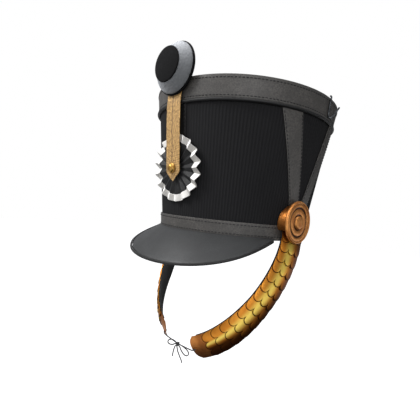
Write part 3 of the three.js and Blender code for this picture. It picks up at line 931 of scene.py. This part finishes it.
steel = stamped_metal("drawn_steel_wire", "#2a2b2d", "#4c4e51", "#6f7175", 0.5, tarnish_mm=3)
stem_run = smooth_run([Vector(point) for point in (
    (0, -114.1, 148), (0, -114.9, 160), (0, -115.6, 167), (0, -115.9, 170), (0, -116.4, 171.4),
)], 6)
STEM_RADIUS = 0.4
HOOK_RADIUS = 1.0
fit(sweep("pompon_wire", stem_run, STEM_RADIUS), steel, "steel_wire", "pompon_stem")
hook_run = smooth_run([on_crown(*row) for row in (
    (94.4, 172.2, 1.6), (94.6, 170.2, 3.2), (94.9, 165, 3.2), (95.6, 156, 3.2), (96.2, 149, 3.8),
    (96.8, 147.5, 6.2), (97.6, 151, 8.6), (98.4, 157, 10.4), (98.8, 160.4, 11.6),
)], 8)
hook_radii = [HOOK_RADIUS] * (len(hook_run) - 2) + [0.9, 0.6]
fit(sweep("band_wire_hook", hook_run, hook_radii), steel, "steel_wire", "band_hook")


# ---- Chin strap ----
# A black leather strap on each side, curving forward and under the chin. It is the backing
# that the brass scales and the pierced end plate are laced to.

STRAP_HALF_WIDTH = 15
STRAP_CROWN = 3
STRAP_CROWN_FROM = 25
STRAP_STEPS = 400
STRAP_SAMPLE = 0.0005
strap_corners = [
    Vector((100.3, -8.3, 16.4)), Vector((98.4, 5.8, -29)), Vector((99, -71, -109.5)),
    Vector((17.5, -72.2, -138.5)),
]
strap_faces = [
    (0, (0.97, -0.24, -0.1)), (0.47, (0.91, -0.41, -0.07)), (0.72, (0.62, -0.75, -0.2)),
    (1, (0.12, -0.89, -0.44)),
]


def strap_centre(t):
    a, b, c, d = strap_corners
    return (1 - t) ** 3 * a + 3 * t * (1 - t) ** 2 * b + 3 * t * t * (1 - t) * c + t ** 3 * d


strap_reached = [0.0]
for i in range(STRAP_STEPS):
    step = strap_centre((i + 1) / STRAP_STEPS) - strap_centre(i / STRAP_STEPS)
    strap_reached.append(strap_reached[-1] + step.length)


def strap_share(along):
    """The curve's own parameter at a distance down the strap."""
    reach = min(max(along, 0), strap_reached[-1] - 0.001)
    i = next(i for i in range(STRAP_STEPS) if strap_reached[i + 1] > reach)
    part = (reach - strap_reached[i]) / (strap_reached[i + 1] - strap_reached[i])
    return (i + part) / STRAP_STEPS


def on_strap(along, across, above):
    """A point on the left strap: along it, across from -1 (back) to 1, and above its leather."""
    share = min(max(along / strap_reached[-1], 0), 1)
    t = strap_share(along)
    tangent = (strap_centre(t + STRAP_SAMPLE) - strap_centre(t - STRAP_SAMPLE)).normalized()
    for (low, low_face), (high, high_face) in zip(strap_faces, strap_faces[1:]):
        if share <= high:
            face = Vector(low_face).lerp(Vector(high_face), (share - low) / (high - low))
            break
    face = (face - tangent * face.dot(tangent)).normalized()
    forward = tangent.cross(face)
    domed = STRAP_CROWN * min(along / STRAP_CROWN_FROM, 1) * (1 - across * across)
    return strap_centre(t) + forward * across * STRAP_HALF_WIDTH + face * (above + domed)


STRAP_LEATHER = 1.0
BACKING_EDGE = 15.4
BACKING_LENGTH = 182
backing_outline = strip_outline(
    -BACKING_EDGE, -STRAP_LEATHER, BACKING_EDGE, 0, 0.45, longest=2.5,
)
for word, x_sign in (("left", 1), ("right", -1)):
    loops = [facing([
        on_strap(along, x / STRAP_HALF_WIDTH, above) for x, above in backing_outline
    ], x_sign) for along in (BACKING_LENGTH * i / 60 for i in range(61))]
    strap = loft("chin_leather_" + word, loops)
    fit(strap, black_leather, "dark_leather", "chin_strap_leather_" + word)


# ---- Chin scales ----
# Stamped brass plates with three round lobes each, riding over one another like tiles. Their
# colour holds painted light: a painted highlight along the crown, painted shade towards the
# back edge, and dark painted shade along the edges of the lobes.

SCALE_METAL = 0.6
SCALE_LENGTH = 18.4
SCALE_PITCH = 12.9
FIRST_TIP = 19
LOBE_DEPTH = 5.0
LOBES = 3
SCALES = 13
SCALE_SLOPE = 0.085
LOBE_SWELL = 0.2
HIDDEN_MM = 3.0
# The painted highlight lies a little before the middle, and narrows on the last plates.
HIGHLIGHT_AT = 0.18
NARROWS_AFTER = 9


def lobes_painted_light(tree, toned, _):
    """Painted highlight along the crown; painted shade towards the back and at the lobes' edges."""
    from_painted_highlight = add(tree, "Attribute", attribute_name="from_painted_highlight")
    aside = add(tree, "Math", {0: from_painted_highlight}, operation="ABSOLUTE")
    # Painted highlight: yellow near the highlight line across the plate.
    painted_highlight = add(tree, "MapRange", {
        "Value": aside, "From Min": 0.0, "From Max": 0.55, "To Min": 0.85, "To Max": 0.0,
    }, interpolation_type="SMOOTHSTEP")
    brightened = add(tree, "Mix", {
        "Factor": painted_highlight, 6: toned, 7: linear("#f2d868"),
    }, data_type="RGBA")
    # Painted shade: browner past the highlight line towards the back edge.
    painted_shade = add(tree, "MapRange", {
        "Value": from_painted_highlight, "From Min": -1.0, "From Max": -0.2, "To Min": 1.0, "To Max": 0.0,
    }, interpolation_type="SMOOTHSTEP")
    shaded = add(tree, "Mix", {
        "Factor": painted_shade, 6: brightened, 7: linear("#5c3214"),
    }, data_type="RGBA")
    # Painted shade: dark brown up to 0.7 mm from a lobe's edge, fading out by 1.5 mm.
    to_edge = add(tree, "Attribute", attribute_name="to_edge_mm")
    unshaded = add(tree, "MapRange", {"Value": to_edge, "From Min": 0.7, "From Max": 1.5})
    return add(tree, "Mix", {
        "Factor": unshaded, 6: linear("#3c220c"), 7: shaded,
    }, data_type="RGBA")


def lobe_shape(across):
    """How far a lobe's edge is set back there, and how near its middle is, from 0 to 1."""
    place = (across + 1) / 2 * LOBES
    aside = 2 * (place - math.floor(min(place, LOBES - 1e-6))) - 1
    round_part = math.sqrt(max(1 - aside ** 2, 0))
    return LOBE_DEPTH * (1 - round_part), round_part


scale_brass = toned_metal(
    "old_lobed_brass", ("#b87228", "#cc8834"), (0.34, 0.66), cloud_mm=14, cloudiness=(3.0, 0.5),
    polish=(0.46, 0.34), dent_mm=2.5, dent_depth_mm=0.1, paint=lobes_painted_light,
)
scale_across = [-1 + 2 * i / 36 for i in range(37)]
scale_rows = [0, 0.25, 0.5, 0.7, 0.85, 0.93, 0.975, 1]
for word, x_sign in (("left", 1), ("right", -1)):
    for number in range(SCALES):
        root = FIRST_TIP + SCALE_PITCH * number - SCALE_LENGTH
        loops = []
        to_edge = []
        from_painted_highlight = []
        narrowing = 1 + 0.5 * max(number - NARROWS_AFTER, 0)
        for across in scale_across:
            setback, round_part = lobe_shape(across)
            reach = SCALE_LENGTH - setback
            loop = []
            for metal, rows in ((SCALE_METAL, scale_rows), (0, scale_rows[::-1])):
                for row in rows:
                    from_root = row * reach
                    swell = LOBE_SWELL * round_part * math.sin(math.pi * row ** 3)
                    above = GAP + SCALE_SLOPE * from_root + metal + swell
                    loop.append(on_strap(root + from_root, across, above))
                    # Distance to the lobe's edge, for the painted shade along it; the hidden
                    # underside gets none.
                    past = (1 - row) * reach * (0.45 + 0.55 * round_part)
                    to_edge.append(past if metal else HIDDEN_MM)
                    # How far across from the painted highlight line, stretched on the last plates.
                    from_painted_highlight.append((across - HIGHLIGHT_AT) * narrowing)
            loops.append(facing(loop, x_sign))
        name = f"chin_scale_{word}_{number + 1:02d}"
        scale = loft("brass_" + name, loops, sharp=30)
        for attribute, values in (("to_edge_mm", to_edge), ("from_painted_highlight", from_painted_highlight)):
            held = scale.data.attributes.new(attribute, "FLOAT", "POINT")
            held.data.foreach_set("value", values)
        fit(scale, scale_brass, "brass", name)


# ---- End plates ----
# The last plate of each side is plain copper-toned brass, rounded at the end and pierced for
# the lace, with a rolled edge round the hole.

copper_plate = stamped_metal(
    "toned_copper_plate", "#824c24", "#a0642f", "#b87a40", 0.4, tarnish_mm=14,
)
for word in ("left", "right"):
    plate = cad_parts["chin_end_plate_" + word]
    plate.data.materials.clear()
    plate.data.materials.append(copper_plate)

LACE_HOLE_AT = 190.3
eyelet_place = on_strap(LACE_HOLE_AT, 0, 0)
eyelet_up = (on_strap(LACE_HOLE_AT, 0, 1) - eyelet_place).normalized()
eyelet_side = eyelet_up.orthogonal().normalized()
eyelet_outline = rounded([
    (0.74, -0.3), (1.65, -0.3), (1.65, 1), (2.1, 1), (2.1, 1.4), (0.74, 1.4),
], 0.2)
eyelet_loops = [[
    eyelet_place + above * eyelet_up
    + radius * (math.cos(turn) * eyelet_side + math.sin(turn) * eyelet_up.cross(eyelet_side))
    for radius, above in eyelet_outline
] for turn in (2 * math.pi * i / 32 for i in range(32))]
for word, x_sign in (("left", 1), ("right", -1)):
    eyelet = loft("lace_eyelet_" + word, [facing(loop, x_sign) for loop in eyelet_loops], ring=True)
    fit(eyelet, copper_plate, "copper")


# ---- Rosettes ----
# A copper-toned brass boss over the top of each strap: a raised round rim, a dark groove, a flat
# field and a ringed middle, on a drum that stands off the crown.

ROSETTE_X, ROSETTE_Y, ROSETTE_Z = 101, -9, 22.7
DRUM_RADIUS = 20
DRUM_WALL = 2
DRUM_HALF_TURN = 120
BOSS_BACK = 4.6


def grooves_darkened(tree, toned, _):
    """Darker brown where the "groove" attribute is high."""
    depth = add(tree, "Attribute", attribute_name="groove")
    return add(tree, "Mix", {"Factor": depth, 6: toned, 7: linear("#3a2010")}, data_type="RGBA")


boss_brass = toned_metal(
    "copper_toned_brass", ("#b87438", "#d0904e"), (0.34, 0.66), cloud_mm=8, cloudiness=(5.0, 0.5),
    polish=(0.5, 0.38), dent_mm=4, dent_depth_mm=0.15, paint=grooves_darkened, metallic=0.7,
)
# Rows are (radius, distance from the base, how much darker brown it is).
boss_rows = [
    (0, BOSS_BACK, 0.6), (17, BOSS_BACK, 0.6), (22.4, BOSS_BACK, 0.5), (23.4, 4.9, 0.3),
    (24, 5.6, 0.2), (24, 7.2, 0), (23.7, 8.1, 0), (23.2, 8.6, 0), (22.6, 8.7, 0),
    (22.1, 8.4, 0.1), (21.7, 7.9, 0.3), (21.2, 7.7, 0.4), (20.7, 7.8, 0.2), (20.3, 8, 0),
    (18.2, 8, 0), (17.5, 7.7, 0.3), (17, 7, 0.9), (16.4, 6.6, 1), (15.7, 6.7, 1),
    (15.2, 7.3, 0.4), (14.6, 7.6, 0), (12, 7.6, 0), (10, 7.5, 0), (9.3, 7.2, 0.5), (8.8, 6.6, 1),
    (8.1, 6.6, 1), (7.7, 7.4, 0.5), (7.4, 8.6, 0.1), (6.8, 9.3, 0), (5, 9.5, 0), (2.5, 9.6, 0),
    (0, 9.6, 0),
]
BOSS_SIDES = 120
for word, x_sign in (("left", 1), ("right", -1)):
    loops = [facing([
        Vector((
            ROSETTE_X + out, ROSETTE_Y + max(radius, 0.02) * math.sin(turn),
            ROSETTE_Z + max(radius, 0.02) * math.cos(turn),
        )) for turn in (2 * math.pi * i / BOSS_SIDES for i in range(BOSS_SIDES))
    ], x_sign) for radius, out, _ in boss_rows]
    boss = loft("rosette_boss_" + word, loops, sharp=60)
    groove = boss.data.attributes.new("groove", "FLOAT", "POINT")
    groove.data.foreach_set("value", [dark for _, _, dark in boss_rows for _ in range(BOSS_SIDES)])
    fit(boss, boss_brass, "copper", "rosette_" + word)

    # The drum is open at the foot, where the strap comes out of it.
    drum_loops = []
    for angle in (-DRUM_HALF_TURN + 2 * DRUM_HALF_TURN * i / 60 for i in range(61)):
        turn = math.radians(angle)
        loop = []
        for radius in (DRUM_RADIUS, DRUM_RADIUS - DRUM_WALL):
            y = ROSETTE_Y + radius * math.sin(turn)
            z = ROSETTE_Z + radius * math.cos(turn)
            share = z / CROWN_HEIGHT
            half_width = blend_of(HEAD_RADIUS, TOP_HALF_WIDTH, share) + BAND_FACE + GAP
            half_depth = blend_of(HEAD_RADIUS, TOP_HALF_DEPTH, share) + BAND_FACE + GAP
            lean = (y - TOP_SET_BACK * share) / half_depth
            wall = half_width * math.sqrt(1 - lean * lean)
            pair = [Vector((wall + 0.1, y, z)), Vector((ROSETTE_X + BOSS_BACK, y, z))]
            loop += pair if radius == DRUM_RADIUS else pair[::-1]
        drum_loops.append(facing(loop, x_sign))
    drum = loft("rosette_drum_" + word, drum_loops)
    fit(drum, copper_plate, "copper", "rosette_" + word)


# ---- Floor and light ----
# A pale floor well below the hanging hat, lit so evenly that it meets the white surround. What
# the metal mirrors is a softer studio: light from above and before, and dark low behind.

floor_mesh = bpy.data.meshes.new("floor")
FLOOR_REACH = 12.0
FLOOR_DROP = 0.9
floor_height = frame_box[0][2] - FLOOR_DROP
floor_mesh.from_pydata([
    (x * FLOOR_REACH, y * FLOOR_REACH, floor_height)
    for x, y in ((-1, -1), (1, -1), (1, 1), (-1, 1))
], [], [(0, 1, 2, 3)])
floor = bpy.data.objects.new("floor", floor_mesh)
bpy.context.collection.objects.link(floor)
floor.visible_glossy = False
floor.visible_diffuse = False
floor_paint, floor_tree, _ = start_material("pale_paper")
floor_shader = add(floor_tree, "BsdfPrincipled", {
    "Base Color": linear("#f6f6f6"), "Roughness": 0.9, "Emission Color": linear("#ffffff"),
    "Emission Strength": 0.75,
})
add(floor_tree, "OutputMaterial", {"Surface": floor_shader})
floor_mesh.materials.append(floor_paint)

world = bpy.data.worlds.new("surround")
world.use_nodes = True
studio = world.node_tree
studio.nodes.clear()
direction = add(studio, "TexCoord").node.outputs["Generated"]
BRIGHT_SIDE = (-0.2, -0.7, 0.68)
upper = add(studio, "VectorMath", {
    0: direction, 1: BRIGHT_SIDE,
}, operation="DOT_PRODUCT")
soft = add(studio, "MapRange", {
    "Value": upper, "From Min": -0.7, "From Max": 0.4, "To Min": 0.05, "To Max": 0.55,
}, interpolation_type="SMOOTHSTEP")
# A low bright ring goes round the hat, and the crowns of the chin scales mirror it.
RING_AXIS = (0.227, 0.109, -0.968)
RING_COSINE = 0.417
low = add(studio, "VectorMath", {
    0: direction, 1: RING_AXIS,
}, operation="DOT_PRODUCT")
off_ring = add(studio, "Math", {0: low, 1: RING_COSINE}, operation="SUBTRACT")
off_ring_size = add(studio, "Math", {0: off_ring}, operation="ABSOLUTE")
ring_light = add(studio, "MapRange", {
    "Value": off_ring_size, "From Min": 0.16, "From Max": 0.04, "To Max": 1.8,
}, interpolation_type="SMOOTHSTEP")
strength = add(studio, "Math", {0: soft, 1: ring_light}, operation="ADD")
room = add(studio, "Background", {"Color": linear("#fbfcff"), "Strength": strength})
backdrop = add(studio, "Background", {"Color": linear("#ffffff"), "Strength": 1.0})
ray = add(studio, "LightPath")
either = add(studio, "MixShader", {"Fac": ray, 1: room, 2: backdrop})
add(studio, "OutputWorld", {"Surface": either})
bpy.context.scene.world = world

for name, place, size, watts in (
    ("key_lamp", (-0.45, -1.0, 0.85), 0.5, 15),
    ("top_lamp", (0.3, -0.2, 1.2), 0.6, 5),
    ("side_lamp", (0.9, -0.75, 0.3), 0.6, 4),
    ("back_lamp", (-0.85, 1.0, 0.5), 0.8, 9),
):
    lamp = bpy.data.lights.new(name, "AREA")
    lamp.size = size
    lamp.energy = watts
    holder = bpy.data.objects.new(name, lamp)
    holder.location = place
    holder.rotation_euler = Vector(place).to_track_quat("Z", "Y").to_euler()
    bpy.context.collection.objects.link(holder)

bpy.context.scene.view_settings.view_transform = "Standard"
